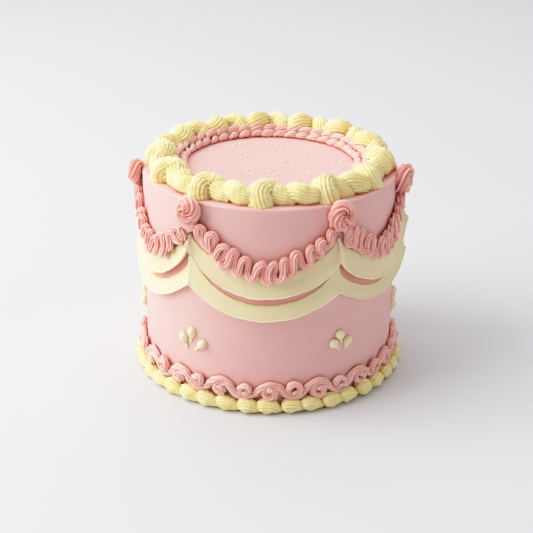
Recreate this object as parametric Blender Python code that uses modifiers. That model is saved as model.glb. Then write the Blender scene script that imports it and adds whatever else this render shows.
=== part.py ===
"""A tall round layer cake, iced smooth and piped all over in the Lambeth manner.

Blender 4.5: blender --background --python part.py
Metres, +Z up. The origin is the middle of the cake's flat underside, and angle 0 on
the side is the front of the cake, -Y. Angles grow towards +X.
"""

import math

import bmesh
import bpy
from mathutils import Vector

MM = 0.001
TURN = 2.0 * math.pi

# The iced cake
CAKE_R = 81.5 * MM
CAKE_H = 134.0 * MM
RIM_ROUND = 1.6 * MM
CAKE_STEPS = 64
GAP = 0.3 * MM

# White nonpareils on the top
SPRINKLE_R = 0.9 * MM
SPRINKLE_SUNK = 0.35
# Sideways and back from the middle of the top, in mm
SPRINKLES_MM = (
    (-24.0, 35.0), (-20.0, 38.0), (-19.0, 18.0), (-15.0, 15.0), (-38.0, -12.0), (-14.0, -13.0),
    (-1.0, -16.0), (4.0, 36.0), (7.5, 36.5), (11.0, 18.0), (24.0, 22.0), (9.0, 4.0),
    (14.0, -9.0), (4.0, -22.0), (25.0, -20.0), (33.0, -18.0), (39.0, -8.0), (46.0, 4.0),
    (-30.0, -30.0), (-6.0, -38.0), (17.0, -36.0), (36.0, -31.0),
)

# Yellow border on the rim: shells piped outwards in turn with shells piped along the ring
RIM_PAIRS = 13
RIM_FIRST_DEG = -8.1
# Shells are piped longer at the front than at the back: by how much, and turned how far
RIM_STRETCH_DEG = 6.6
RIM_STRETCH_FROM_DEG = 12.0
OUTWARD_SHELL_R = 70.6 * MM
OUTWARD_SHELL_WIDE = 8.9 * MM
OUTWARD_SHELL_HIGH = 13.9 * MM
ALONG_SHELL_R = 69.4 * MM
ALONG_SHELL_WIDE = 7.9 * MM
ALONG_SHELL_HIGH = 13.2 * MM

# Pink border of small shells inside it
INNER_SHELLS = 42
INNER_SHELL_R = 57.0 * MM
INNER_SHELL_WIDE = 4.3 * MM
INNER_SHELL_HIGH = 6.2 * MM

# The six rosettes round the side, the six joins of the ribbons and the six motifs below
ROSETTES_DEG = (-84.5, -33.0, 29.6, 80.5, 146.0, 210.0)
JOINS_DEG = (-87.0, -35.0, 30.0, 82.0, 148.0, 211.0)
MOTIFS_DEG = (-89.0, -36.0, 33.2, 86.5, 149.0, 210.0)

# Pink rosettes, each with a short tail
ROSETTES_Z = (131.0 * MM, 131.2 * MM, 129.6 * MM, 131.0 * MM, 131.0 * MM, 131.0 * MM)
ROSETTE_WIDE = 8.6 * MM
ROSETTE_TALL = 9.3 * MM
ROSETTE_OUT = 12.0 * MM
ROSETTE_TAIL = 2.2 * MM
ROSETTE_LOBES = 7
ROSETTE_EYE = 1.6 * MM

# Pink zigzag garlands
GARLAND_TOP_Z = 115.8 * MM
GARLAND_LOW_Z = 94.8 * MM
GARLAND_WAVES = 13
GARLAND_HALF_WIDE = 7.2 * MM
GARLAND_END_WIDE = 3.6 * MM
GARLAND_STRAND_R = 2.05 * MM
GARLAND_END_CLEAR = 4.6 * MM
GARLAND_LEAN = 0.6

# Yellow ribbons, two to a swag, thin along the top edge and thick along the lower
UPPER_LOW_Z = 77.9 * MM
UPPER_JOINS_Z = (103.4 * MM, 107.3 * MM, 99.4 * MM, 103.4 * MM, 105.0 * MM, 102.0 * MM)
UPPER_JOIN_TOP_Z = 114.0 * MM
UPPER_WIDE = 14.5 * MM
LOWER_LOWS_Z = (63.6 * MM, 63.2 * MM, 66.0 * MM, 64.0 * MM, 63.4 * MM, 64.4 * MM)
LOWER_JOINS_Z = (81.0 * MM, 81.6 * MM, 78.0 * MM, 81.0 * MM, 81.6 * MM, 80.0 * MM)
RIBBON_THIN = 1.0 * MM
RIBBON_THICK = 4.2 * MM
RIBBON_STEPS = 12
# The gap between a swag's two ribbons, in its middle and at its first and last ends
MID_GAPS = (4.6 * MM, 5.2 * MM, 4.4 * MM, 4.8 * MM, 5.2 * MM, 4.4 * MM)
FIRST_GAPS = (0.5 * MM, 2.4 * MM, 6.0 * MM, 0.5 * MM, 5.5 * MM, 0.5 * MM)
LAST_GAPS = (8.6 * MM, 0.5 * MM, 0.5 * MM, 5.0 * MM, 0.5 * MM, 0.5 * MM)
# How much further out than that the ribbons stand where they meet at each join
JOIN_FLARE = (0.6 * MM, 0.2 * MM, 0.2 * MM, 3.4 * MM, 0.4 * MM, 0.2 * MM)

# Motifs of three yellow drops: sideways, up, tilt in degrees
MOTIF_Z = 42.0 * MM
MOTIF_DROPS = (
    (-6.1 * MM, -1.6 * MM, 17.0),
    (0.1 * MM, 5.2 * MM, -4.0),
    (6.1 * MM, -1.9 * MM, -25.0),
)
# The two front motifs are each piped a little unlike that
LEFT_MOTIF_DROPS = (
    (-5.2 * MM, -0.8 * MM, 16.0),
    (1.0 * MM, 4.6 * MM, -12.0),
    (8.2 * MM, -1.9 * MM, -42.0),
)
RIGHT_MOTIF_DROPS = (
    (-5.4 * MM, 0.1 * MM, 38.0),
    (-1.2 * MM, 5.0 * MM, 16.0),
    (4.4 * MM, -0.3 * MM, -16.0),
)
MOTIFS = (MOTIF_DROPS, LEFT_MOTIF_DROPS, RIGHT_MOTIF_DROPS, MOTIF_DROPS, MOTIF_DROPS, MOTIF_DROPS)
# How far each motif is turned as a group, in degrees
MOTIF_TURNS_DEG = (0.0, 0.0, 0.0, 0.0, 8.0, -6.0)
DROP_LONG = 10.2 * MM
DROP_WIDE = 6.0 * MM
DROP_OUT = 3.4 * MM

# Yellow shells round the foot
FOOT_SHELLS = 40
FOOT_SHELL_WIDE = 9.0 * MM
FOOT_SHELL_HIGH = 10.2 * MM

# Pink scroll above them: a wave with a curl on every crest and in every hollow
SCROLL_WAVES = 17
SCROLL_CREST_DEG = 6.7
SCROLL_Z = 16.2 * MM
SCROLL_WAVE = 2.9 * MM
SCROLL_OUT = 4.6 * MM
SCROLL_STRAND_R = 2.7 * MM
CURL_R = 3.9 * MM
CURL_OUT = 6.8 * MM

PINK = (0.86, 0.50, 0.50, 1.0)
DEEP_PINK = (0.80, 0.36, 0.38, 1.0)
YELLOW = (0.91, 0.84, 0.50, 1.0)
CREAM = (0.88, 0.83, 0.58, 1.0)


def clear_scene():
    for obj in list(bpy.data.objects):
        bpy.data.objects.remove(obj)


def icing(name, colour, roughness):
    """A Principled material of one colour."""
    material = bpy.data.materials.new(name)
    material.use_nodes = True
    shader = material.node_tree.nodes["Principled BSDF"]
    shader.inputs["Base Color"].default_value = colour
    shader.inputs["Roughness"].default_value = roughness
    shader.inputs["Metallic"].default_value = 0.0
    return material


def on_side(angle, height, out):
    """A point at an angle round the cake, a height, and a distance out from its side."""
    radius = CAKE_R + out
    return Vector((radius * math.sin(angle), -radius * math.cos(angle), height))


def add_object(name, mesh, material, collection):
    obj = bpy.data.objects.new(name, mesh)
    mesh.materials.append(material)
    mesh.shade_smooth()
    collection.objects.link(obj)
    return obj


def loft(name, rings, closed_loop):
    """A closed mesh through rings of points. A loop joins its last ring to its first."""
    bm = bmesh.new()
    rows = [[bm.verts.new(point) for point in ring] for ring in rings]
    pairs = list(zip(rows, rows[1:]))
    if closed_loop:
        pairs.append((rows[-1], rows[0]))
    for here, there in pairs:
        for i in range(len(here)):
            j = (i + 1) % len(here)
            bm.faces.new((here[i], here[j], there[j], there[i]))
    if not closed_loop:
        for row in (rows[0], rows[-1]):
            bm.faces.new(row)
    bmesh.ops.recalc_face_normals(bm, faces=bm.faces)
    bmesh.ops.triangulate(bm, faces=bm.faces)
    mesh = bpy.data.meshes.new(name)
    bm.to_mesh(mesh)
    bm.free()
    return mesh


def dome(name, rings, foot, apex):
    """A closed mesh from a foot point on the side, out through rings, to one last point."""
    bm = bmesh.new()
    rows = [[bm.verts.new(point) for point in ring] for ring in rings]
    heel = bm.verts.new(foot)
    tip = bm.verts.new(apex)
    for here, there in zip(rows, rows[1:]):
        for i in range(len(here)):
            j = (i + 1) % len(here)
            bm.faces.new((here[i], here[j], there[j], there[i]))
    for i in range(len(rows[0])):
        j = (i + 1) % len(rows[0])
        bm.faces.new((rows[0][j], rows[0][i], heel))
        bm.faces.new((rows[-1][i], rows[-1][j], tip))
    bmesh.ops.recalc_face_normals(bm, faces=bm.faces)
    bmesh.ops.triangulate(bm, faces=bm.faces)
    mesh = bpy.data.meshes.new(name)
    bm.to_mesh(mesh)
    bm.free()
    return mesh


def apply_modifiers(obj):
    """Gives the object the mesh that its modifiers make, and removes them."""
    graph = bpy.context.evaluated_depsgraph_get()
    made = bpy.data.meshes.new_from_object(obj.evaluated_get(graph))
    obj.modifiers.clear()
    obj.data = made


def union_with(obj, helpers, solver):
    """Fuses every object of a collection onto one, then removes the collection's objects."""
    join = obj.modifiers.new("Join", "BOOLEAN")
    join.operation = "UNION"
    join.operand_type = "COLLECTION"
    join.collection = helpers
    join.solver = solver
    bpy.context.view_layer.update()
    apply_modifiers(obj)
    for helper in list(helpers.objects):
        bpy.data.objects.remove(helper)


def make_cake(collection, helpers, material):
    """The iced cylinder as a turned profile, with the sprinkles fused to its top."""
    bend = 0.2929
    profile = [
        (0.0, CAKE_H),
        (CAKE_R - RIM_ROUND, CAKE_H),
        (CAKE_R - bend * RIM_ROUND, CAKE_H - bend * RIM_ROUND),
        (CAKE_R, CAKE_H - RIM_ROUND),
        (CAKE_R, 0.0),
        (0.0, 0.0),
    ]
    mesh = bpy.data.meshes.new("cake_body")
    points = [(x, 0.0, z) for x, z in profile]
    edges = [(i, i + 1) for i in range(len(points) - 1)]
    mesh.from_pydata(points, edges, [])
    cake = add_object("cake_body", mesh, material, collection)
    turn = cake.modifiers.new("Turn", "SCREW")
    turn.axis = "Z"
    turn.angle = TURN
    turn.steps = CAKE_STEPS
    turn.render_steps = CAKE_STEPS
    turn.use_merge_vertices = True
    turn.merge_threshold = 0.00005
    apply_modifiers(cake)
    for sideways, back in SPRINKLES_MM:
        bm = bmesh.new()
        bmesh.ops.create_icosphere(bm, subdivisions=1, radius=SPRINKLE_R)
        ball = bpy.data.meshes.new("sprinkle")
        bm.to_mesh(ball)
        bm.free()
        sprinkle = bpy.data.objects.new("sprinkle", ball)
        sprinkle.location = (sideways * MM, back * MM, CAKE_H + SPRINKLE_R * SPRINKLE_SUNK)
        sprinkle.rotation_euler = (0.09 * sideways, 0.07 * back, 0.0)
        helpers.objects.link(sprinkle)
    union_with(cake, helpers, "EXACT")
    return cake


def arch(angle, middle, half, tall, points, ribbed):
    """A section of a piped border across the ring: a round arch with a flat foot."""
    section = []
    for k in range(points):
        turn = math.pi * k / (points - 1)
        rib = 0.9 if ribbed and k % 2 else 1.0
        radius = middle - half * math.cos(turn) * (0.94 if ribbed and 0 < k < points - 1 else 1.0)
        height = CAKE_H + GAP + tall * math.sin(turn) ** 0.75 * rib
        section.append((radius * math.sin(angle), -radius * math.cos(angle), height))
    return section


def rim_angle(even):
    """Where a place on an evenly divided rim lies on this one, longer at the front."""
    turned = math.radians(RIM_STRETCH_FROM_DEG)
    stretch = math.radians(RIM_STRETCH_DEG) * (math.sin(even + turned) - math.sin(turned))
    return math.radians(RIM_FIRST_DEG) + even + stretch


def make_rim_border():
    """Outward shells, ridged across the ring, in turn with shells ridged along it."""
    step = TURN / (2 * RIM_PAIRS)
    # Place along one shell, then its size there as a share of the full shell
    outward = ((0.02, 0.78), (0.2, 0.99), (0.36, 0.93), (0.54, 1.0), (0.86, 0.84))
    along = ((0.02, 0.8), (0.36, 1.0), (0.8, 0.88))
    rings = []
    for pair in range(RIM_PAIRS):
        start = 2 * pair * step
        for place, size in outward:
            half = OUTWARD_SHELL_WIDE * (0.35 + 0.65 * size)
            tall = OUTWARD_SHELL_HIGH * size
            angle = rim_angle(start + place * step)
            rings.append(arch(angle, OUTWARD_SHELL_R, half, tall, 10, False))
        for place, size in along:
            half = ALONG_SHELL_WIDE * (0.5 + 0.5 * size)
            tall = ALONG_SHELL_HIGH * size
            angle = rim_angle(start + (1.0 + place) * step)
            rings.append(arch(angle, ALONG_SHELL_R, half, tall, 10, True))
    return loft("rim_shell_border", rings, closed_loop=True)


def make_inner_border():
    """A ring of small shells, each low where the next one starts."""
    rings = []
    for shell in range(INNER_SHELLS):
        for place, size in ((0.0, 0.66), (0.45, 1.0)):
            angle = TURN * (shell + place) / INNER_SHELLS
            half = INNER_SHELL_WIDE * (0.5 + 0.5 * size)
            rings.append(arch(angle, INNER_SHELL_R, half, INNER_SHELL_HIGH * size, 7, True))
    return loft("inner_shell_border", rings, closed_loop=True)


def make_foot_shells():
    """Shells round the foot, flat against the side and on the surface below."""
    rings = []
    for shell in range(FOOT_SHELLS):
        for place, full in ((0.0, 0.1), (0.22, 0.9), (0.55, 1.0)):
            angle = TURN * (shell + place) / FOOT_SHELLS
            wide = FOOT_SHELL_WIDE * (0.62 + 0.38 * full)
            high = FOOT_SHELL_HIGH * (0.72 + 0.28 * full)
            section = [(0.0, 0.0), (0.72 * wide, 0.0)]
            for degrees in (12.0, 38.0, 66.0):
                turn = math.radians(degrees)
                section.append((wide * math.cos(turn), high * (0.12 + 0.88 * math.sin(turn))))
            section.append((0.0, 0.92 * high))
            rings.append([on_side(angle, z, GAP + out) for out, z in section])
    return loft("foot_shell_border", rings, closed_loop=True)


def make_scroll():
    """The wavy strand round the foot, swelling into a curl on each crest and in each hollow."""
    steps = 8
    sides = 6
    first = math.radians(SCROLL_CREST_DEG)
    rings = []
    for step in range(SCROLL_WAVES * steps):
        angle = TURN * step / (SCROLL_WAVES * steps)
        turned = SCROLL_WAVES * (angle - first)
        # Sharp crests and hollows, with the curls a little after each of them
        wave = math.cos(turned + 0.35 * math.sin(2.0 * turned))
        curl = abs(math.cos(turned - 0.5)) ** 3
        thick = SCROLL_STRAND_R + (CURL_R - SCROLL_STRAND_R) * curl
        reach = SCROLL_OUT + (CURL_OUT - SCROLL_OUT) * curl
        middle_z = SCROLL_Z + SCROLL_WAVE * wave * (1.0 - 0.35 * curl)
        ring = []
        for k in range(sides):
            turn = TURN * (k + 0.5) / sides
            out = 0.5 * reach * (1.0 - 1.15 * math.cos(turn))
            height = middle_z + thick * math.sin(turn)
            ring.append(on_side(angle, height, max(GAP, out)))
        rings.append(ring)
    return loft("foot_scroll", rings, closed_loop=True)


def make_rosette(name, angle, middle_z):
    """A swirled dome on the side below the rim, its ridges turning in to an eye."""
    points = 2 * ROSETTE_LOBES
    rows = []
    # Size of each ring of points, how far out it lies, and how far it is turned
    levels = (
        (0.94, 0.0, 0.0),
        (1.0, 0.3, 12.0),
        (0.93, 0.62, 34.0),
        (0.66, 0.88, 66.0),
        (0.32, 0.98, 104.0),
    )
    for share, depth, twist in levels:
        row = []
        for k in range(points):
            turn = TURN * k / points + math.radians(twist)
            ridge = 0.87 if k % 2 and depth > 0.0 else 1.0
            reach = share * ridge
            across = ROSETTE_WIDE * reach * math.cos(turn) + ROSETTE_EYE * depth**2
            up = ROSETTE_TALL * reach * math.sin(turn) + 0.5 * ROSETTE_EYE * depth**2
            hang = max(0.0, -math.sin(turn)) ** 2 * ROSETTE_TAIL * (1.0 - depth)
            out = GAP + ROSETTE_OUT * depth * (0.97 if k % 2 else 1.0)
            row.append(on_side(angle + across / CAKE_R, middle_z + up - hang, out))
        rows.append(row)
    foot = on_side(angle, middle_z, GAP)
    eye = on_side(angle + ROSETTE_EYE / CAKE_R, middle_z + 0.5 * ROSETTE_EYE, GAP + 0.9 * ROSETTE_OUT)
    return dome(name, rows, foot, eye)


def swag_sag(share):
    """Height of a swag's curve above its lowest point, as a share, at -1 to 1 across it."""
    return 0.78 * share**2 + 0.22 * share**10


def garland_line(first, last, count):
    """Evenly spaced places on a garland's middle line: sideways, height, slope, half width."""
    clear = GARLAND_END_CLEAR
    start = CAKE_R * first + clear
    span = CAKE_R * (last - first) - 2.0 * clear
    fine = 240
    spots = []
    for i in range(fine + 1):
        share = 2.0 * i / fine - 1.0
        height = GARLAND_LOW_Z + (GARLAND_TOP_Z - GARLAND_LOW_Z) * abs(share) ** 1.65
        half = GARLAND_END_WIDE + (GARLAND_HALF_WIDE - GARLAND_END_WIDE) * (1.0 - share**4)
        spots.append((start + span * i / fine, height, half))
    lengths = [0.0]
    for here, there in zip(spots, spots[1:]):
        lengths.append(lengths[-1] + math.hypot(there[0] - here[0], there[1] - here[1]))
    line = []
    i = 0
    for n in range(count):
        target = lengths[-1] * (n + 0.5) / count
        while lengths[i + 1] < target:
            i += 1
        here = spots[i]
        there = spots[i + 1]
        slope = math.atan2(there[1] - here[1], there[0] - here[0])
        line.append((here[0], here[1], slope, here[2]))
    return line


def nearer_end(values, swag, along):
    """A swag's value at the join it is nearer to, from a list of one for each join."""
    return values[swag if along < 0.5 else (swag + 1) % len(values)]


def upper_ribbon_edges(swag, along):
    """Lower and upper height of a swag's upper ribbon at 0 to 1 along it."""
    share = 2.0 * along - 1.0
    join = nearer_end(UPPER_JOINS_Z, swag, along)
    low = UPPER_LOW_Z + (join - UPPER_LOW_Z) * swag_sag(share)
    wide = UPPER_WIDE + (UPPER_JOIN_TOP_Z - join - UPPER_WIDE) * share**4
    return low, low + wide


def lower_ribbon_edges(swag, along):
    """The same for its lower ribbon, kept clear of the upper ribbon's lower edge."""
    share = 2.0 * along - 1.0
    join = nearer_end(LOWER_JOINS_Z, swag, along)
    low = LOWER_LOWS_Z[swag] + (join - LOWER_LOWS_Z[swag]) * share**2
    end_gap = FIRST_GAPS[swag] if along < 0.5 else LAST_GAPS[swag]
    gap = MID_GAPS[swag] + (end_gap - MID_GAPS[swag]) * share**6
    return low, upper_ribbon_edges(swag, along)[0] - gap


def ribbon_thickness(swag, along):
    """How thick a swag's ribbons are at their lower edges, at 0 to 1 along it."""
    first_flare = JOIN_FLARE[swag] * max(0.0, 1.0 - 2.2 * along) ** 1.5
    last_flare = JOIN_FLARE[(swag + 1) % 6] * max(0.0, 2.2 * along - 1.2) ** 1.5
    return RIBBON_THICK + first_flare + last_flare


def ribbon_out(height, low, high, thick):
    """How far out a ribbon's face is at a height: thin at its top, thick at its lower edge."""
    share = min(max((high - height) / (high - low), 0.0), 1.0)
    return GAP + RIBBON_THIN + (thick - RIBBON_THIN) * share


def ribbon_under(swags, angle, height):
    """How far out the upper ribbons' faces reach below a strand at a place on the side."""
    furthest = 0.0
    for swag, (first, last) in enumerate(swags):
        for turn in (-TURN, 0.0, TURN):
            along = (angle + turn - first) / (last - first)
            if not -0.05 < along < 1.05:
                continue
            along = min(max(along, 0.0), 1.0)
            low, high = upper_ribbon_edges(swag, along)
            if height - GARLAND_STRAND_R < high + 1.2 * MM:
                thick = ribbon_thickness(swag, along)
                furthest = max(furthest, ribbon_out(height - GARLAND_STRAND_R, low, high, thick))
    return furthest


def make_garland(name, first, last, swags):
    """A strand piped in a tight zigzag, resting on the side above and the ribbon below."""
    corners = (-1.0, 1.0, 1.0, -1.0)
    sides = 4
    centres = []
    line = garland_line(first, last, GARLAND_WAVES * len(corners))
    for i, (sideways, height, slope, half) in enumerate(line):
        up = corners[i % len(corners)] * (half - GARLAND_STRAND_R)
        lean = GARLAND_LEAN * slope
        angle = (sideways - up * math.sin(lean)) / CAKE_R
        height += up * math.cos(lean)
        under = ribbon_under(swags, angle, height)
        centres.append(on_side(angle, height, under + GAP + GARLAND_STRAND_R))
    rings = []
    for i, centre in enumerate(centres):
        before = centres[max(i - 1, 0)]
        after = centres[min(i + 1, len(centres) - 1)]
        forward = (after - before).normalized()
        outward = Vector((centre.x, centre.y, 0.0)).normalized()
        across = forward.cross(outward).normalized()
        ring = []
        for k in range(sides):
            turn = TURN * (k + 0.5) / sides
            side = across * GARLAND_STRAND_R * 0.98 * math.sin(turn)
            deep = outward * GARLAND_STRAND_R * 1.3 * math.cos(turn)
            ring.append(centre + side - deep)
        rings.append(ring)
    return loft(name, rings, closed_loop=False)


def make_ribbon(name, swag, first, last, edges):
    """A ribbon piped along a swag between two angles: edges gives its heights."""
    rings = []
    for step in range(RIBBON_STEPS + 1):
        along = step / RIBBON_STEPS
        # Closer sections near the joins, where the swag turns up
        along = 0.5 - 0.5 * math.cos(math.pi * along)
        angle = first + (last - first) * along
        low, high = edges(swag, along)
        thick = ribbon_thickness(swag, along)
        rings.append(
            [
                on_side(angle, low + 0.6 * MM, GAP),
                on_side(angle, low, GAP + thick * 0.6),
                on_side(angle, low + 0.9 * MM, GAP + thick),
                on_side(angle, high, GAP + RIBBON_THIN),
                on_side(angle, high, GAP),
            ]
        )
    return loft(name, rings, closed_loop=False)


def make_drop(name, angle, height, tilt):
    """A flattened teardrop on the side, round above and pointed below."""
    sides = 8
    rows = []
    for share, out in ((1.0, GAP), (0.8, GAP + 0.72 * DROP_OUT)):
        row = []
        for k in range(sides):
            turn = TURN * k / sides
            point = max(0.0, -math.sin(turn)) ** 3
            across = 0.5 * DROP_WIDE * share * math.cos(turn) * (1.0 - 0.45 * max(0.0, -math.sin(turn)))
            up = share * (0.36 * DROP_LONG * math.sin(turn) - 0.28 * DROP_LONG * point)
            lean = math.radians(tilt)
            side = across * math.cos(lean) - up * math.sin(lean)
            rise = across * math.sin(lean) + up * math.cos(lean)
            row.append(on_side(angle + side / CAKE_R, height + rise, out))
        rows.append(row)
    foot = on_side(angle, height, GAP)
    return dome(name, rows, foot, on_side(angle, height, GAP + DROP_OUT))


def spans(places_deg, short_by):
    """Start and end angles from each place round the side to the next, each end cut short."""
    places = [math.radians(degrees) for degrees in places_deg]
    nexts = places[1:] + [places[0] + TURN]
    cut = short_by / CAKE_R
    return [(here + cut, there - cut) for here, there in zip(places, nexts)]


def build():
    clear_scene()
    scene = bpy.context.scene
    scene.unit_settings.system = "METRIC"
    parts = bpy.data.collections.new("lambeth_cake")
    helpers = bpy.data.collections.new("joined_pieces")
    scene.collection.children.link(parts)
    scene.collection.children.link(helpers)
    helpers.hide_render = True

    pink = icing("smooth_pink_icing", PINK, 0.6)
    deep_pink = icing("piped_pink_icing", DEEP_PINK, 0.5)
    yellow = icing("piped_yellow_icing", YELLOW, 0.5)
    cream = icing("ribbon_yellow_icing", CREAM, 0.55)

    make_cake(parts, helpers, pink)
    add_object("rim_shell_border", make_rim_border(), yellow, parts)
    add_object("inner_shell_border", make_inner_border(), deep_pink, parts)
    add_object("foot_shell_border", make_foot_shells(), yellow, parts)
    add_object("foot_scroll", make_scroll(), deep_pink, parts)

    rosettes = spans(ROSETTES_DEG, 0.0)
    swags = spans(JOINS_DEG, 0.5 * GAP)
    for i, (first, last) in enumerate(swags):
        number = str(i + 1)
        rosette = make_rosette("rosette_" + number, rosettes[i][0], ROSETTES_Z[i])
        add_object("rosette_" + number, rosette, deep_pink, parts)
        garland = make_garland("garland_" + number, *rosettes[i], swags)
        add_object("garland_" + number, garland, deep_pink, parts)
        upper = make_ribbon("upper_ribbon_" + number, i, first, last, upper_ribbon_edges)
        add_object("upper_ribbon_" + number, upper, cream, parts)
        lower = make_ribbon("lower_ribbon_" + number, i, first, last, lower_ribbon_edges)
        add_object("lower_ribbon_" + number, lower, cream, parts)

    for i, degrees in enumerate(MOTIFS_DEG):
        turn = math.radians(MOTIF_TURNS_DEG[i])
        for letter, (across, rise, tilt) in zip("abc", MOTIFS[i]):
            name = f"drop_{i + 1}{letter}"
            side = across * math.cos(turn) - rise * math.sin(turn)
            up = across * math.sin(turn) + rise * math.cos(turn)
            lean = tilt + 0.6 * MOTIF_TURNS_DEG[i]
            angle = math.radians(degrees) + side / CAKE_R
            add_object(name, make_drop(name, angle, MOTIF_Z + up, lean), cream, parts)


build()
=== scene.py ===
# %% [markdown]
# # A Lambeth cake, dressed over its CAD frame
# The real cake is a tall 6 inch layer cake, iced smooth in pink and piped all over with
# buttercream. The frame holds plain solids of every piece. This lesson lays the piped
# detail over them: each piece below is piped in code the way a baker pipes it, as a
# ridged strand squeezed along a path.

# %% Load the frame
import math
import random

import bmesh
import bpy
import numpy as np
from mathutils import Matrix, Vector


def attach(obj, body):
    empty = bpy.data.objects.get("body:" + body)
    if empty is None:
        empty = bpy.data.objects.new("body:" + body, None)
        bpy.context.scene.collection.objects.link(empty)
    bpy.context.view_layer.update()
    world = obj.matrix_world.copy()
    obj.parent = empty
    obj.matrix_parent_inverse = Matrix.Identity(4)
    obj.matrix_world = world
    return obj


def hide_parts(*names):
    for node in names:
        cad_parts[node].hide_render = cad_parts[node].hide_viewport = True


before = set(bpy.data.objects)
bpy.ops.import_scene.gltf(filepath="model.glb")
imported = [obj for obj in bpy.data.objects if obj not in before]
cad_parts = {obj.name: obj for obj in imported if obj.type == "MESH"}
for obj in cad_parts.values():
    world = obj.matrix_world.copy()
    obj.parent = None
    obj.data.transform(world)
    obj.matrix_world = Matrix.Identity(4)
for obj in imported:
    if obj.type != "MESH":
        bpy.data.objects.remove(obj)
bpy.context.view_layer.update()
print("nodes in the frame:", len(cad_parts))

# %% [markdown]
# ## Places on the cake
# Every piece sits on the side or the top of a round cake. It could be modelled flat and
# bent round with a modifier, but the bend would stretch its ridges. A path has no width
# to stretch. So paths are written in millimetres on flat paper, as sideways, up and out,
# and two functions wrap that paper round the side of the cake or lay it along a ring on
# the top. The ridges are added afterwards, round the bent path.

# %% Sizes and the two kinds of paper
MM = 0.001
TURN = 2.0 * math.pi
CAKE_R = 81.5
CAKE_H = 134.0


def around_side(sideways, up, out):
    """Points in mm on the side: sideways is measured round the cake from its front."""
    angle = np.asarray(sideways) / CAKE_R
    radius = CAKE_R + np.asarray(out)
    return np.stack([radius * np.sin(angle), -radius * np.cos(angle), np.asarray(up)], -1)


def around_top(ring_radius, sideways, up, out):
    """Points in mm over a ring on the cake's top."""
    angle = np.asarray(sideways) / ring_radius
    radius = ring_radius + np.asarray(out)
    high = CAKE_H + np.asarray(up)
    return np.stack([radius * np.sin(angle), -radius * np.cos(angle), high], -1)


print("cake", 2 * CAKE_R, "mm across and", CAKE_H, "mm tall")

# %% [markdown]
# ## Buttercream
# Buttercream is butter beaten with sugar: pale, soft and full of tiny air bubbles. Light
# goes a little way in, so its grooves glow with a deeper colour instead of going grey.
# One flat colour with subsurface scattering would do from far away, but close up it looks
# like plastic. So each icing is a Principled shader with a little subsurface, a colour
# that drifts, painted shade that deepens it in the grooves, in pinholes and where pieces
# crowd each other, and a bump of bubbles and fine grain.

# %% Helpers for materials


def linear(hex_colour):
    """The linear colour of an sRGB hex value, as shaders want it."""
    channels = [int(hex_colour[i : i + 2], 16) / 255.0 for i in (1, 3, 5)]
    return [c / 12.92 if c <= 0.04045 else ((c + 0.055) / 1.055) ** 2.4 for c in channels] + [1.0]


def add_node(tree, kind, values=None, **settings):
    """Adds a node. values go to its inputs: a number or colour, or another node's output."""
    node = tree.nodes.new(kind)
    for name, setting in settings.items():
        setattr(node, name, setting)
    for name, value in (values or {}).items():
        if isinstance(value, bpy.types.NodeSocket):
            tree.links.new(value, node.inputs[name])
        else:
            node.inputs[name].default_value = value
    return node


def per_metre(size_mm):
    """A texture scale that repeats about once in a size in millimetres."""
    return 1000.0 / size_mm


print("a middle grey on screen is", round(linear("#808080")[0], 3), "in linear light")

# %% Sizes in the icing
# Real air bubbles are 0.1 to 0.3 mm across and sugar grains finer still. A pixel of the
# picture covers 0.6 mm, so both are drawn as coarse as they need to be to show.
BUBBLE_MM = 1.1
GRAIN_MM = 0.6
# A pit is deepest in the inner share of its bubble's cell and ends at the outer share
PIT_SHARES = (0.05, 0.22)
# A burst bubble leaves a pinhole with a soft edge, about one in every centimetre, drawn only as a
# spot of painted shade
PINHOLE_EVERY_MM = 10.0
PINHOLE_MM = 0.6
PINHOLE_EDGE_MM = 1.2
PINHOLE_SHADE = 0.6
# The colour drifts over about the width of a palette knife
DRIFT_MM = 26.0
DRIFT_SPAN = 0.3
DRIFT_BASE = -0.14
# Butter rises unevenly in the skin, so its gloss changes every few millimetres
SHEEN_MM = 7.0
SHEEN_SPAN = (-0.07, 0.09)
# Painted shade: icing this near to other icing is painted deeper in colour, from a little covered
# to well covered
CREVICE_SHADE_MM = 5.0
CREVICE_SHADE_OPEN = 0.62
CREVICE_SHADE_SHUT = 0.15
# How much of the groove colour, as painted shade, the bottom of a groove gets
GROOVE_SHADE_WEIGHT = 0.55
# How far light goes into butter, and the shares of that in red, green and blue
LIGHT_DEPTH_MM = 1.6
LIGHT_REACH = (1.0, 0.55, 0.4)
BUTTERFAT_IOR = 1.46
BUTTERFAT_SPECULAR = 0.42
print("bubbles drawn", BUBBLE_MM, "mm apart, grain", GRAIN_MM, "mm")

# %% The icing's colour


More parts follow.
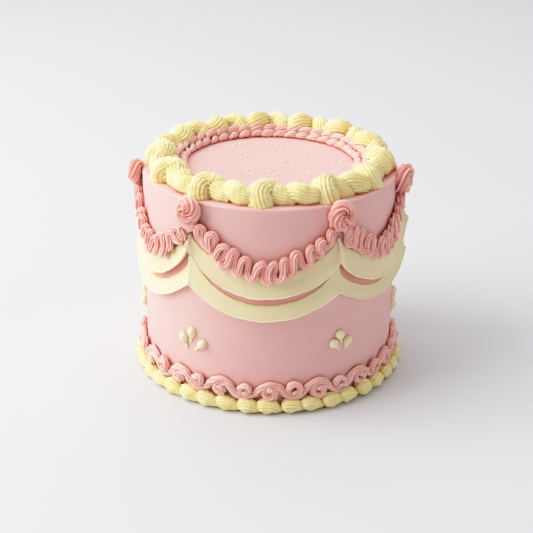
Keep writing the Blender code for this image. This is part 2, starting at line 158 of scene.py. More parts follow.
def icing_colour(tree, place, face, groove, crevice_shade_share):
    """A colour that runs from face on the crests to groove, a painted shade, down in the grooves.

    Where pieces crowd each other, light has passed through more icing and is deeper in
    colour, so an ambient occlusion node adds painted shade to the groove's share there, and
    pinholes are painted as small spots of shade.
    """
    drift = add_node(
        tree,
        "ShaderNodeTexNoise",
        {"Vector": place, "Scale": per_metre(DRIFT_MM), "Detail": 3.0},
    )
    drifted = add_node(
        tree,
        "ShaderNodeMath",
        {0: drift.outputs["Fac"], 1: DRIFT_SPAN, 2: DRIFT_BASE},
        operation="MULTIPLY_ADD",
    )
    # Painted shade where pieces crowd each other, read from ambient occlusion
    ambient_occlusion = add_node(tree, "ShaderNodeAmbientOcclusion", {"Distance": CREVICE_SHADE_MM * MM}, samples=6)
    crevice_shade = add_node(
        tree,
        "ShaderNodeMapRange",
        {
            "Value": ambient_occlusion.outputs["AO"],
            "From Min": CREVICE_SHADE_SHUT,
            "From Max": CREVICE_SHADE_OPEN,
            "To Min": 1.0,
            "To Max": 0.0,
        },
    )
    with_crevice_shade = add_node(
        tree,
        "ShaderNodeMath",
        {0: crevice_shade.outputs["Result"], 1: crevice_shade_share, 2: drifted.outputs[0]},
        operation="MULTIPLY_ADD",
    )
    # Painted shade: each pinhole is a soft spot of deeper colour, with no hole in the surface
    burst = add_node(
        tree,
        "ShaderNodeTexVoronoi",
        {"Vector": place, "Scale": per_metre(PINHOLE_EVERY_MM)},
    )
    pinhole_shade = add_node(
        tree,
        "ShaderNodeMapRange",
        {
            "Value": burst.outputs["Distance"],
            "From Min": 0.5 * PINHOLE_MM / PINHOLE_EVERY_MM,
            "From Max": 0.5 * PINHOLE_EDGE_MM / PINHOLE_EVERY_MM,
            "To Min": PINHOLE_SHADE,
            "To Max": 0.0,
        },
    )
    with_pinhole_shade = add_node(
        tree,
        "ShaderNodeMath",
        {0: pinhole_shade.outputs["Result"], 1: with_crevice_shade.outputs[0]},
        operation="ADD",
    )
    # The painted shade that each point carries in its groove attribute
    depth = add_node(tree, "ShaderNodeAttribute", attribute_name="groove")
    deepened = add_node(
        tree,
        "ShaderNodeMath",
        {0: depth.outputs["Fac"], 1: GROOVE_SHADE_WEIGHT, 2: with_pinhole_shade.outputs[0]},
        operation="MULTIPLY_ADD",
        use_clamp=True,
    )
    colour = add_node(
        tree,
        "ShaderNodeMix",
        {"Factor": deepened.outputs[0], "A": linear(face), "B": linear(groove)},
        data_type="RGBA",
    )
    return colour.outputs["Result"]


# %% The icing's gloss and bumps


def icing_roughness(tree, place, roughness):
    """A roughness that drifts a little, as the butter's gloss does."""
    patches = add_node(
        tree,
        "ShaderNodeTexNoise",
        {"Vector": place, "Scale": per_metre(SHEEN_MM), "Detail": 2.0},
    )
    least, most = SHEEN_SPAN
    drifted = add_node(
        tree,
        "ShaderNodeMapRange",
        {"Value": patches.outputs["Fac"], "To Min": roughness + least, "To Max": roughness + most},
    )
    return drifted.outputs["Result"]


def icing_bumps(tree, place, grain_depth_mm):
    """Round bubble pits with fine sugar grain over them."""
    grain = add_node(
        tree,
        "ShaderNodeTexNoise",
        {"Vector": place, "Scale": per_metre(GRAIN_MM), "Detail": 2.0},
    )
    bubbles = add_node(
        tree,
        "ShaderNodeTexVoronoi",
        {"Vector": place, "Scale": per_metre(BUBBLE_MM)},
    )
    inner, outer = PIT_SHARES
    pits = add_node(
        tree,
        "ShaderNodeMapRange",
        {"Value": bubbles.outputs["Distance"], "From Min": inner, "From Max": outer},
    )
    height = add_node(
        tree,
        "ShaderNodeMath",
        {0: pits.outputs["Result"], 1: 0.5, 2: grain.outputs["Fac"]},
        operation="MULTIPLY_ADD",
    )
    bump = add_node(
        tree,
        "ShaderNodeBump",
        {"Height": height.outputs[0], "Distance": grain_depth_mm * MM, "Strength": 0.7},
    )
    return bump.outputs["Normal"]


# %% Mix the five icings


def buttercream(name, face, groove, roughness, grain_depth_mm, subsurface, crevice_shade_share):
    """An icing: face is its colour on a crest, and groove the colour of the painted shade down in a
    groove and where pieces crowd each other.
    """
    material = bpy.data.materials.new(name)
    material.use_nodes = True
    tree = material.node_tree
    shader = tree.nodes["Principled BSDF"]
    place = add_node(tree, "ShaderNodeTexCoord").outputs["Object"]
    colour = icing_colour(tree, place, face, groove, crevice_shade_share)
    tree.links.new(colour, shader.inputs["Base Color"])
    tree.links.new(icing_roughness(tree, place, roughness), shader.inputs["Roughness"])
    tree.links.new(icing_bumps(tree, place, grain_depth_mm), shader.inputs["Normal"])
    shader.inputs["Subsurface Weight"].default_value = subsurface
    shader.inputs["Subsurface Radius"].default_value = LIGHT_REACH
    shader.inputs["Subsurface Scale"].default_value = LIGHT_DEPTH_MM * MM
    shader.inputs["IOR"].default_value = BUTTERFAT_IOR
    shader.inputs["Specular IOR Level"].default_value = BUTTERFAT_SPECULAR
    return material


# Drawn flat with a warm knife: matt and even, with pinholes where bubbles burst painted as spots of
# shade, and painted shade where other icing crowds it
smooth_pink = buttercream("smooth_pink_buttercream", "#E9B4AE", "#D87460", 0.6, 0.12, 0.3, 1.0)
# Squeezed through a star nozzle: its wet skin has a soft gloss that picks out each crest, and
# painted shade deepens its grooves
piped_pink = buttercream("piped_pink_buttercream", "#FDC8BC", "#EC6A5A", 0.33, 0.08, 0.15, 0.5)
# The same icing squeezed thin from a small star nozzle: light comes through it, so this copy is
# painted paler as painted light, with less painted shade
lit_thin_pink = buttercream("lit_thin_piped_pink_buttercream", "#FED0C3", "#F68A78", 0.35, 0.08, 0.2, 0.15)
# Butter yellow from a big star nozzle: thick strands with a warm yellow painted shade in their
# grooves, where the real ones glow
piped_yellow = buttercream("piped_yellow_buttercream", "#FAEDB5", "#FFD562", 0.4, 0.08, 0.45, 0.4)
# Pale yellow from a flat petal nozzle and a plain round one: smooth, with a satin face, and painted
# shade where other icing crowds it
ribbon_yellow = buttercream("ribbon_yellow_buttercream", "#F5EEC7", "#DDB469", 0.5, 0.1, 0.25, 0.7)
icings = (smooth_pink, piped_pink, lit_thin_pink, piped_yellow, ribbon_yellow)
print("icings:", [icing.name for icing in icings])

# %% [markdown]
# ## A squeezed strand
# A star nozzle has teeth, so what comes out of it has sharp crests with hollows between
# them. A curve with a star-shaped bevel gives ridges too, but each one is then alike, and
# no point knows how deep it lies. So `strand` sweeps the section along a path in code. It
# gives each ridge its own height and each point its groove depth, which the shader reads to paint
# shade in the grooves.
# Its frame turns as little as it can from point to point, so the ridges run along the
# strand as they do on icing.

# %% Paths and the baker's hand


def smooth_through(knots, steps):
    """Points on a smooth curve through knots, evenly spaced between them (Catmull-Rom)."""
    knots = np.asarray(knots, float)
    padded = np.vstack([2 * knots[0] - knots[1], knots, 2 * knots[-1] - knots[-2]])
    where = np.linspace(0.0, len(knots) - 1.0, steps)
    index = np.minimum(where.astype(int), len(knots) - 2)
    t = (where - index)[:, None]
    a, b, c, d = (padded[index + k] for k in range(4))
    square = (2 * a - 5 * b + 4 * c - d) * t**2
    cube = (3 * b - a - 3 * c + d) * t**3
    return 0.5 * (2 * b + (c - a) * t + square + cube)


hand = random.Random(11)


def wobble(size):
    """A small seeded error of the baker's hand, in mm."""
    return hand.uniform(-size, size)


def by_hand(knots, *errors):
    """Knots moved by the hand's errors, up to the given mm in each direction."""
    return np.array(knots) + [[wobble(size) if size else 0.0 for size in errors] for _ in knots]


def blob(count, start, end, tail):
    """Radius shares along a strand: a round start, a full body and a drawn-out tail."""
    s = np.linspace(0.0, 1.0, count)
    rise = np.sqrt(np.clip(1.0 - (1.0 - s / start) ** 2, 0.02, 1.0))
    rise = np.where(s < start, rise, 1.0)
    fall = np.where(s > end, 1.0 - (1.0 - tail) * ((s - end) / (1.0 - end)) ** 1.3, 1.0)
    return rise * fall


print("a strand 5 points long swells as", blob(5, 0.3, 0.4, 0.2).round(2).tolist())

# %% Strands
SMOOTH_CORNERS = 24
RIDGE_HEIGHT = 0.85
RIDGE_WOBBLE = 0.25
# The squeeze is uneven by these shares of the radius, in a slow wave and a quicker one
SLOW_SQUEEZE = 0.035
QUICK_SQUEEZE = 0.03
# The groove colour is painted shade that gathers low down: this power keeps it off the crests
GROOVE_SHADE_POWER = 1.6
# The point that closes each end of a strand gets half the painted shade of a groove's bottom
END_SHADE = 0.5


def turning_frame(path):
    """Two unit vectors across a path at each point, which turn as little as they can."""
    steps = np.gradient(path, axis=0)
    along = steps / np.maximum(np.linalg.norm(steps, axis=-1, keepdims=True), 1e-9)
    normal = np.zeros_like(path)
    level = abs(along[0][2]) < 0.8
    seed = np.array([0.3, 0.2, 1.0]) if level else np.array([1.0, 0.3, 0.1])
    for i, direction in enumerate(along):
        seed = seed - direction * seed.dot(direction)
        seed = seed / np.linalg.norm(seed)
        normal[i] = seed
    return normal, np.cross(along, normal)


def tube_faces(count, corners):
    """Faces of a tube of count rings, closed at each end by a fan to one more point."""
    here = np.arange(corners)
    there = (here + 1) % corners
    rows = np.arange(count - 1)[:, None] * corners
    quads = np.stack([rows + here, rows + there, rows + corners + there, rows + corners + here], -1)
    faces = quads.reshape(-1, 4).tolist()
    first = count * corners
    last_row = (count - 1) * corners
    faces += [[int(b), int(a), first] for a, b in zip(here, there)]
    faces += [[int(last_row + a), int(last_row + b), first + 1] for a, b in zip(here, there)]
    return faces


def strand(path, radius, twist=0.0, teeth=0, groove=0.0, crest=1.0, finish=1):
    """Vertices in mm, faces and painted groove shade of a strand squeezed along a path.

    radius is one size for each point and twist the turns that the hand makes. The rest is
    the nozzle: teeth are the ridges round it, groove their depth as a share of the radius,
    crest how wide the hollows are, from 1 for the sharpest crests to 2 for a plain wave,
    and finish the corners for each ridge. A round nozzle has no teeth.
    """
    count = len(path)
    corners = teeth * finish if teeth else SMOOTH_CORNERS
    normal, across = turning_frame(path)
    turn = TURN * np.arange(corners) / corners
    ridge = np.ones(corners)
    if teeth:
        ridge = 1.0 - np.abs(np.cos(0.5 * teeth * turn)) ** crest
        # No two ridges come out of the nozzle alike
        heights = np.array([RIDGE_HEIGHT + wobble(RIDGE_WOBBLE) for _ in range(teeth)])
        ridge = ridge * heights[np.arange(corners) // finish]
    phase = hand.uniform(0.0, TURN)
    lengths = np.linalg.norm(np.diff(path, axis=0), axis=1)
    gone = np.concatenate([[0.0], np.cumsum(lengths)])[:, None]
    uneven = SLOW_SQUEEZE * np.sin(0.9 * gone + 2.0 * turn + phase)
    uneven = uneven + QUICK_SQUEEZE * np.sin(2.3 * gone - 3.0 * turn + 2.0 * phase)
    reach = radius[:, None] * (1.0 - groove + groove * ridge + (uneven if teeth else 0.0))
    spin = turn + TURN * twist * np.linspace(0.0, 1.0, count)[:, None]
    cosine = np.cos(spin)[..., None]
    sine = np.sin(spin)[..., None]
    sideways = cosine * normal[:, None, :] + sine * across[:, None, :]
    ring = path[:, None, :] + reach[..., None] * sideways
    verts = np.vstack([ring.reshape(-1, 3), path[:1], path[-1:]])
    # Painted shade: the lower a point lies in a groove, the more of the groove colour it gets
    groove_shade = np.clip(1.0 - ridge, 0.0, 1.0) ** GROOVE_SHADE_POWER
    depth = np.concatenate([np.tile(groove_shade, count), [END_SHADE, END_SHADE]])
    return verts, tube_faces(count, corners), depth


print("a round strand has", SMOOTH_CORNERS, "corners")

# %% One object from many strands


def piped(name, strands, material, nodes, floor_z=None):
    """Joins strands into one object that stands for CAD nodes."""
    all_verts, all_faces, all_depth = [], [], []
    start = 0
    for verts, faces, depth in strands:
        all_verts.append(verts)
        all_depth.append(depth)
        all_faces += [[i + start for i in face] for face in faces]
        start += len(verts)
    verts = np.vstack(all_verts)
    if floor_z is not None:
        verts[:, 2] = np.maximum(verts[:, 2], floor_z)
    mesh = bpy.data.meshes.new(name)
    mesh.from_pydata((verts * MM).tolist(), [], all_faces)
    # Each point's painted shade, read by the icing shader as a share of its groove colour
    groove = mesh.attributes.new("groove", "FLOAT", "POINT")
    groove.data.foreach_set("value", np.concatenate(all_depth))
    mesh.shade_smooth()
    mesh.materials.append(material)
    piece = bpy.data.objects.new(name, mesh)
    bpy.context.scene.collection.objects.link(piece)
    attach(piece, "root")
    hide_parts(*nodes)
    return piece


print("ready to pipe")

# %% [markdown]
# ## The iced cake
# The cake's side and top are drawn smooth with a palette knife, which leaves slow waves
# and a crisp top edge. A cylinder with a bevel and a noise texture would look dented, not
# drawn. So rings of points follow the profile, from the middle of the top over the edge
# and down to the foot, and waves a tenth of a millimetre deep run round them. The rings
# are close together on the side, as a later step paints shade on the icing between the
# ribbons point by point.

# %% The smooth cake
EDGE_ROUND = 1.6
EDGE_STEPS = 8
TOP_RINGS = 16
SIDE_RINGS = 170
CAKE_STEPS = 360
# The knife's waves on the side, a wide one and a narrower one, and its dips on the top
WIDE_WAVE = 0.10
NARROW_WAVE = 0.07
TOP_DIP = 0.10


def cake_profile():
    """Radius and height of each ring, from the middle of the top to the underside."""
    edge_r = CAKE_R - EDGE_ROUND
    edge_z = CAKE_H - EDGE_ROUND
    rings = [(0.0, CAKE_H)]
    rings += [(radius, CAKE_H) for radius in np.linspace(6.0, edge_r, TOP_RINGS)]
    for step in range(1, EDGE_STEPS):
        turn = 0.5 * math.pi * step / EDGE_STEPS
        rings.append((edge_r + EDGE_ROUND * math.sin(turn), edge_z + EDGE_ROUND * math.cos(turn)))
    rings += [(CAKE_R, high) for high in np.linspace(edge_z, 0.0, SIDE_RINGS)]
    rings += [(radius, 0.0) for radius in (CAKE_R - 8.0, 20.0)]
    return rings


def smooth_cake():
    """Vertices, faces and painted shade of the iced cake, which has none until a later step paints
    it between the ribbons.
    """
    rings = cake_profile()
    steps = CAKE_STEPS
    turn = TURN * np.arange(steps) / steps
    verts = [[0.0, 0.0, CAKE_H]]
    for radius, high in rings[1:]:
        wide = WIDE_WAVE * np.sin(3 * turn + 0.05 * high)
        narrow = NARROW_WAVE * np.sin(7 * turn - 0.09 * high + 1.0)
        on_side = radius > CAKE_R - 0.01
        drawn = radius + (wide + narrow if on_side else np.zeros(steps))
        on_top = radius < CAKE_R - 4.0 and high > 1.0
        dip = -TOP_DIP * (1.0 + math.sin(0.11 * radius)) if on_top else 0.0
        level = np.full(steps, high + dip)
        verts += np.stack([drawn * np.sin(turn), -drawn * np.cos(turn), level], -1).tolist()
    verts.append([0.0, 0.0, 0.0])
    faces = [[0, 1 + i, 1 + (i + 1) % steps] for i in range(steps)]
    for row in range(len(rings) - 2):
        a = 1 + row * steps
        b = a + steps
        faces += [[a + i, b + i, b + (i + 1) % steps, a + (i + 1) % steps] for i in range(steps)]
    a = 1 + (len(rings) - 2) * steps
    faces += [[a + (i + 1) % steps, a + i, len(verts) - 1] for i in range(steps)]
    return np.array(verts), faces, np.zeros(len(verts))


cake = piped("iced_cake", [smooth_cake()], smooth_pink, ["cake_body"])
print("iced cake:", len(cake.data.polygons), "faces")

# %% [markdown]
# ## The big border on the rim
# This is a reverse-shell border. The nozzle starts on the outer edge, loops up and over
# to the inside and is drawn off along the ring. The next shell starts on the inner edge
# and loops the other way, over the first one's tail. So the border shows a dome with
# upright ridges, then a rope with level ones. Copies of one modelled shell in an array
# would repeat at a glance. Here each shell is a strand of its own through eight points,
# and the hand's small errors are added to every point.

# %% Pipe the rim border
# The border's ring, and its pairs of shells: a dome that loops outwards, a rope inwards
RIM_RING = 69.6
RIM_PAIRS = 13
OUTWARD_STRAND = 7.9
INWARD_STRAND = 6.6
# Where the first dome sits, and how far the shells are stretched from an even division
RIM_FIRST_DEG = -3.1
RIM_STRETCH_DEG = 6.6
RIM_STRETCH_FROM_DEG = 12.0
# The whole border has settled by this much under its weight
RIM_SINK = 0.85
RIM_STEPS = 44
RIM_NOZZLE = {"teeth": 18, "groove": 0.2, "crest": 1.2, "finish": 4}
# Sideways, up and out of the outward loop, and of the inward one
OUTWARD_LOOP = (
    (1.0, -3.2, 3.4),
    (-0.8, 2.3, 3.4),
    (-1.2, 5.8, 1.5),
    (0.8, 7.3, -2.0),
    (4.6, 6.1, -2.9),
    (9.0, 4.6, -0.6),
    (13.0, 3.8, 1.2),
    (17.0, 3.0, 2.0),
)
INWARD_LOOP = (
    (0.8, -3.0, -3.4),
    (-0.8, 2.4, -3.2),
    (-1.0, 6.0, -1.4),
    (1.6, 7.0, 1.2),
    (5.6, 5.6, 2.8),
    (10.0, 4.6, 2.6),
    (14.0, 3.8, 2.2),
    (18.0, 3.2, 1.6),
)
# A loop's points past this place sideways are its tail, which reaches to the next shell
TAIL_FROM = 3.0
# Borders on the top are pressed flat below, just inside the cake's icing
TOP_BED_Z = CAKE_H - 0.3


def rim_place(even):
    """Mm round the rim of a place on an evenly divided one: shells are longer at the front."""
    turned = math.radians(RIM_STRETCH_FROM_DEG)
    stretch = math.radians(RIM_STRETCH_DEG) * (math.sin(even + turned) - math.sin(turned))
    return (math.radians(RIM_FIRST_DEG) + even + stretch) * RIM_RING


def rim_border():
    strands = []
    step = TURN / (2 * RIM_PAIRS)
    for shell in range(2 * RIM_PAIRS):
        size, loop = (INWARD_STRAND, INWARD_LOOP) if shell % 2 else (OUTWARD_STRAND, OUTWARD_LOOP)
        start = rim_place(shell * step)
        longer = (rim_place((shell + 1) * step) - start) / (step * RIM_RING)
        knots = by_hand(loop, 0.35, 0.25, 0.3)
        knots[:, 0] *= np.where(knots[:, 0] > TAIL_FROM, longer, 1.0)
        x, up, out = smooth_through(knots, RIM_STEPS).T
        path = around_top(RIM_RING, start + wobble(0.5) + x, up - RIM_SINK, out)
        radius = size * blob(RIM_STEPS, 0.08, 0.5, 0.5) * (1.0 + wobble(0.04))
        strands.append(strand(path, radius, wobble(0.05), **RIM_NOZZLE))
    return strands


rim = piped(
    "rim_reverse_shells",
    rim_border(),
    piped_yellow,
    ["rim_shell_border"],
    TOP_BED_Z,
)
print("rim border:", len(rim.data.polygons), "faces")

# %% [markdown]
# ## The small pink border
# A fine star nozzle is run round the inside of the big border in small ruffles. From
# above each ruffle is a pair of folds, a high one against the big shells and a low one
# on the top of the cake. One wavy strand would leave the folds apart where the real ones
# lap. So each fold is one short strand laid over the last one's end.

# %% Pipe the inner border
INNER_RING = 57.4
INNER_RUFFLES = 44
INNER_STEPS = 20
INNER_NOZZLE = {"teeth": 8, "groove": 0.34, "crest": 1.2, "finish": 4}
# Sideways, up and out of the high fold, and of the low one
HIGH_FOLD = ((-3.4, 2.6, 5.0), (-1.2, 4.6, 4.0), (2.2, 4.9, 2.6), (5.4, 3.0, 1.6))
LOW_FOLD = ((-2.6, 1.2, 0.2), (-0.6, 2.4, -1.2), (2.6, 2.4, -2.4), (6.0, 1.2, -2.7))
HIGH_STRAND = 2.8
LOW_STRAND = 2.5


def inner_border():
    strands = []
    pitch = TURN * INNER_RING / INNER_RUFFLES
    for ruffle in range(INNER_RUFFLES):
        for fold, size in ((HIGH_FOLD, HIGH_STRAND), (LOW_FOLD, LOW_STRAND)):
            x, up, out = smooth_through(by_hand(fold, 0.5, 0.35, 0.4), INNER_STEPS).T
            start = ruffle * pitch + wobble(0.6)
            path = around_top(INNER_RING, start + x, up, out)
            radius = size * blob(INNER_STEPS, 0.22, 0.45, 0.35) * (1.0 + wobble(0.1))
            strands.append(strand(path, radius, wobble(0.2), **INNER_NOZZLE))
    return strands


inner = piped(
    "inner_ruffle_border",
    inner_border(),
    lit_thin_pink,
    ["inner_shell_border"],
    TOP_BED_Z,
)
print("inner border:", len(inner.data.polygons), "faces")

# %% [markdown]
# ## The shells at the foot
# Round the foot runs a row of shells, each piped fat against the cake and drawn off to a
# tail that the next one covers. They are strands like the rest, on a line just above the
# floor, and what would reach below the floor is pressed flat, as it is on the real one.

# %% Pipe the foot shells
FOOT_SHELLS = 40
FOOT_STRAND = 5.6
FOOT_STEPS = 22
FOOT_NOZZLE = {"teeth": 14, "groove": 0.25, "crest": 1.2, "finish": 4}
FOOT_LINE = ((-5.2, 3.8, 3.0), (-2.0, 5.2, 3.3), (2.5, 4.9, 3.2), (6.5, 3.6, 3.1), (10.5, 2.6, 2.8))


def foot_shells():
    strands = []
    pitch = TURN * CAKE_R / FOOT_SHELLS
    for shell in range(FOOT_SHELLS):
        x, up, out = smooth_through(by_hand(FOOT_LINE, 0.3, 0.2, 0.0), FOOT_STEPS).T
        start = shell * pitch + wobble(0.7)
        path = around_side(start + x, up, out)
        radius = FOOT_STRAND * blob(FOOT_STEPS, 0.30, 0.38, 0.18) * (0.95 + wobble(0.05))
        strands.append(strand(path, radius, wobble(0.04), **FOOT_NOZZLE))
    return strands


shells = piped(
    "foot_shells",
    foot_shells(),
    piped_yellow,
    ["foot_shell_border"],
    0.0,
)
print("foot shells:", len(shells.data.polygons), "faces")

# %% [markdown]
# ## The scrolls at the foot
# Above the shells a scroll border stands against the side: one strand curls up from its
# own eye and sweeps under, and the next curls down and sweeps over. A single long curve
# would cross itself at every eye. So each scroll is one strand, a spiral joined to a
# sweep, and it starts on top of the last one's tail.

# %% Pipe the scrolls
SCROLL_CURLS = 34
SCROLL_FIRST_DEG = -9.7
SCROLL_Z = 14.9
SCROLL_STRAND = 2.6
SCROLL_NOZZLE = {"teeth": 6, "groove": 0.54, "crest": 1.05, "finish": 4}
SCROLL_TWIST = 0.9
# Scrolls that curl upwards stand this much above their line, and the others below it
SCROLL_OFFSET = 0.9
# Radius of a curl, and the share of it that its eye starts with
CURL_R = 4.1
CURL_EYE = 0.24
CURL_STEPS = 46
CURL_FROM_DEG = -150.0
CURL_TO_DEG = 270.0
# The eye lies on the tail before it, so it stands further out than the sweep that follows
EYE_OUT = 4.6
SWEEP_OUT = 2.3
SWEEP_STEPS = 40


def scroll_line(side, pitch):
    """Sideways, up and out of one scroll: it curls upwards for a side of 1, down for -1."""
    turn = np.radians(np.linspace(CURL_FROM_DEG, CURL_TO_DEG, CURL_STEPS))
    opened = CURL_EYE + (1.0 - CURL_EYE) * np.linspace(0.0, 1.0, CURL_STEPS) ** 0.9
    size = CURL_R * opened * (1.0 + wobble(0.24))
    x = size * np.cos(turn)
    up = side * size * np.sin(turn)
    sweep = smooth_through(
        [
            (x[-1], up[-1], SWEEP_OUT),
            (5.0, side * -2.7, SWEEP_OUT),
            (9.0, side * 1.4, 2.4),
            (pitch - 1.0, side * 4.2, SWEEP_OUT),
            (pitch + 4.5, side * 3.2, 1.9),
            (pitch + 8.0, side * 0.0, 1.3),
        ],
        SWEEP_STEPS,
    )
    curl = np.stack([x, up, np.linspace(EYE_OUT, SWEEP_OUT, CURL_STEPS)], -1)
    return np.vstack([curl, sweep[1:]])


def foot_scroll():
    strands = []
    pitch = TURN * CAKE_R / SCROLL_CURLS
    for curl in range(SCROLL_CURLS):
        side = -1.0 if curl % 2 else 1.0
        x, up, out = scroll_line(side, pitch).T
        start = math.radians(SCROLL_FIRST_DEG) * CAKE_R + curl * pitch + wobble(0.9)
        path = around_side(start + x, SCROLL_Z + side * SCROLL_OFFSET + up + wobble(0.6), out)
        radius = SCROLL_STRAND * blob(len(path), 0.05, 0.72, 0.3) * (1.0 + wobble(0.1))
        strands.append(strand(path, radius, SCROLL_TWIST * side + wobble(0.5), **SCROLL_NOZZLE))
    return strands


scroll = piped("foot_scrolls", foot_scroll(), lit_thin_pink, ["foot_scroll"])
print("foot scroll:", len(scroll.data.polygons), "faces")

# %% [markdown]
# ## The ribbons
# Each swag has two smooth ribbons, piped with a flat petal nozzle held so that the lower
# edge stands off the cake. A cloth or a thickened plane would have the same thickness all
# over. So a strip is lofted along the swag's curve from a drawn section, with a thick
# round lip below and a thin edge above.

# %% Curves of the swags
# Joins in degrees round from the front. Other rows of six have a value for each swag or
# for the join at its start, in the same order: the second swag is the one in front.
JOINS_DEG = (-87.0, -35.0, 30.0, 82.0, 148.0, 211.0)
SWAGS = len(JOINS_DEG)
UPPER_LOW_Z = 77.9
UPPER_JOINS_Z = (103.4, 107.3, 99.4, 103.4, 105.0, 102.0)
UPPER_JOIN_TOP_Z = 114.0
UPPER_WIDES = (14.5, 14.5, 17.5, 14.5, 14.5, 14.5)
LOWER_LOWS_Z = (63.6, 63.2, 66.0, 64.0, 63.4, 64.4)
LOWER_JOINS_Z = (81.0, 81.6, 78.0, 81.0, 81.6, 80.0)
# The lower edge of an upper ribbon hangs as a bow, but for this share at its steep ends
STEEP_SHARE = 0.22
# Gaps between the two ribbons: in the middle of a swag, at its start and at its end
MID_GAPS = (4.6, 5.2, 4.4, 4.8, 5.2, 4.4)
FIRST_GAPS = (0.4, 2.4, 6.0, 0.4, 5.5, 0.4)
LAST_GAPS = (8.6, 0.4, 0.4, 5.0, 0.4, 0.4)
# How far the ribbons' lower edges stand out, and how much more they do at each join
RIBBON_THICK = 4.4
JOIN_FLARE = (0.6, 0.2, 0.2, 3.4, 0.4, 0.2)


def spans(places_deg):
    """Start and end in mm round the side, from each place to the next."""
    places = [math.radians(degrees) * CAKE_R for degrees in places_deg]
    return list(zip(places, places[1:] + [places[0] + TURN * CAKE_R]))


def nearer_end(values, swag, share):
    """A swag's value at the join it is nearer to, from a list of one for each join."""
    return np.where(share < 0.0, values[swag], values[(swag + 1) % SWAGS])


def upper_edges(swag, share):
    """Lower and upper height of an upper ribbon, with share from -1 to 1 across its swag."""
    join = nearer_end(UPPER_JOINS_Z, swag, share)
    rise = (1.0 - STEEP_SHARE) * share**2 + STEEP_SHARE * share**10
    low = UPPER_LOW_Z + (join - UPPER_LOW_Z) * rise
    wide = UPPER_WIDES[swag]
    return low, low + wide + (UPPER_JOIN_TOP_Z - join - wide) * share**4


def lower_edges(swag, share):
    """The same for a lower ribbon, whose upper edge follows the ribbon above."""
    join = nearer_end(LOWER_JOINS_Z, swag, share)
    low = LOWER_LOWS_Z[swag] + (join - LOWER_LOWS_Z[swag]) * share**2
    end_gap = np.where(share < 0.0, FIRST_GAPS[swag], LAST_GAPS[swag])
    gap = MID_GAPS[swag] + (end_gap - MID_GAPS[swag]) * share**6
    return low, upper_edges(swag, share)[0] - gap


def ribbon_thickness(swag, share):
    """How far a swag's ribbons stand out at their lower edges."""
    first_flare = JOIN_FLARE[swag] * np.clip(-0.1 - 1.1 * share, 0.0, 1.0) ** 1.5
    last_flare = JOIN_FLARE[(swag + 1) % SWAGS] * np.clip(1.1 * share - 0.1, 0.0, 1.0) ** 1.5
    return RIBBON_THICK + first_flare + last_flare


swags = spans(JOINS_DEG)
print("swags", [round(last - first) for first, last in swags], "mm long")

# %% The ribbons' section
# Share of the width from the lower edge, then share of the full thickness
LIP = (
    (0.10, 0.0),
    (0.03, 0.3),
    (0.0, 0.62),
    (0.0, 0.88),
    (0.012, 1.0),
    (0.035, 1.05),
    (0.06, 1.0),
    (0.09, 0.87),
    (0.13, 0.84),
)
FACE = tuple((0.22 + 0.12 * k, 0.83 - 0.1 * k) for k in range(6))
THIN_EDGE = ((0.93, 0.3), (0.97, 0.29), (0.995, 0.22), (1.0, 0.1), (1.0, 0.0))
RIBBON_SECTION = LIP + FACE + THIN_EDGE
# The lip gets a painted highlight, paler than the face, and the thin upper edge painted shade,
# deeper than the face
LIP_END = 0.075
EDGE_START = 0.9
FACE_SHADE = 0.6
SECTION_SHADES = [
    0.0 if width < LIP_END else 1.0 if width > EDGE_START else FACE_SHADE
    for width, _ in RIBBON_SECTION
]
print("corners of a ribbon's section:", len(RIBBON_SECTION))

# %% Pipe the ribbons
RIBBON_STEPS = 90
# Each ribbon is pressed this far into the icing, and laps this far over the next
RIBBON_SUNK = 0.2
RIBBON_LAP = 0.9
# How thick the small fold is that an upper ribbon starts with
START_FOLDS = (0.6, 1.4, 2.0, 0.6, 1.4, 1.6)


def ribbon(first, last, low, high, thick, fold, phase):
    """One ribbon between two heights, given at even steps from first to last."""
    count = len(low)
    sideways = np.linspace(first, last, count)
    # The hand's waves die out at the ends, where one ribbon meets the next
    steady = 1.0 - np.linspace(-1.0, 1.0, count) ** 8
    uneven = 0.35 * np.sin(0.11 * sideways + phase) + 0.2 * np.sin(0.37 * sideways + 2 * phase)
    low = low + steady * (0.6 * uneven + 0.12 * np.sin(0.9 * sideways + 3 * phase))
    high = high + steady * (0.15 * np.sin(0.5 * sideways + phase) + 0.12 * np.sin(1.1 * sideways))
    swell = 0.25 * np.sin(0.07 * sideways + phase) + 0.12 * np.sin(0.29 * sideways - phase)
    thick = thick + steady * swell
    # An upper ribbon starts with a small thick fold, which laps over the one before it
    thick = thick + fold * np.exp(-(((sideways - first - 1.4) / 2.1) ** 2))
    edges = [
        around_side(sideways, low + (high - low) * width, thick * share - RIBBON_SUNK)
        for width, share in RIBBON_SECTION
    ]
    verts = np.stack(edges, 1).reshape(-1, 3)
    corners = len(RIBBON_SECTION)
    faces = []
    for i in range(count - 1):
        for k in range(corners):
            j = (k + 1) % corners
            a = i * corners
            faces.append([a + k, a + corners + k, a + corners + j, a + j])
    faces.append(list(range(corners)))
    faces.append([(count - 1) * corners + k for k in reversed(range(corners))])
    # The fold gets a paler painted highlight too, as the lip does
    fold_highlight = 0.4 * fold * np.exp(-(((sideways - first - 1.6) / 2.0) ** 2))
    depth = np.tile(SECTION_SHADES, count) * (1.0 - np.repeat(fold_highlight, corners))
    return verts, faces, depth


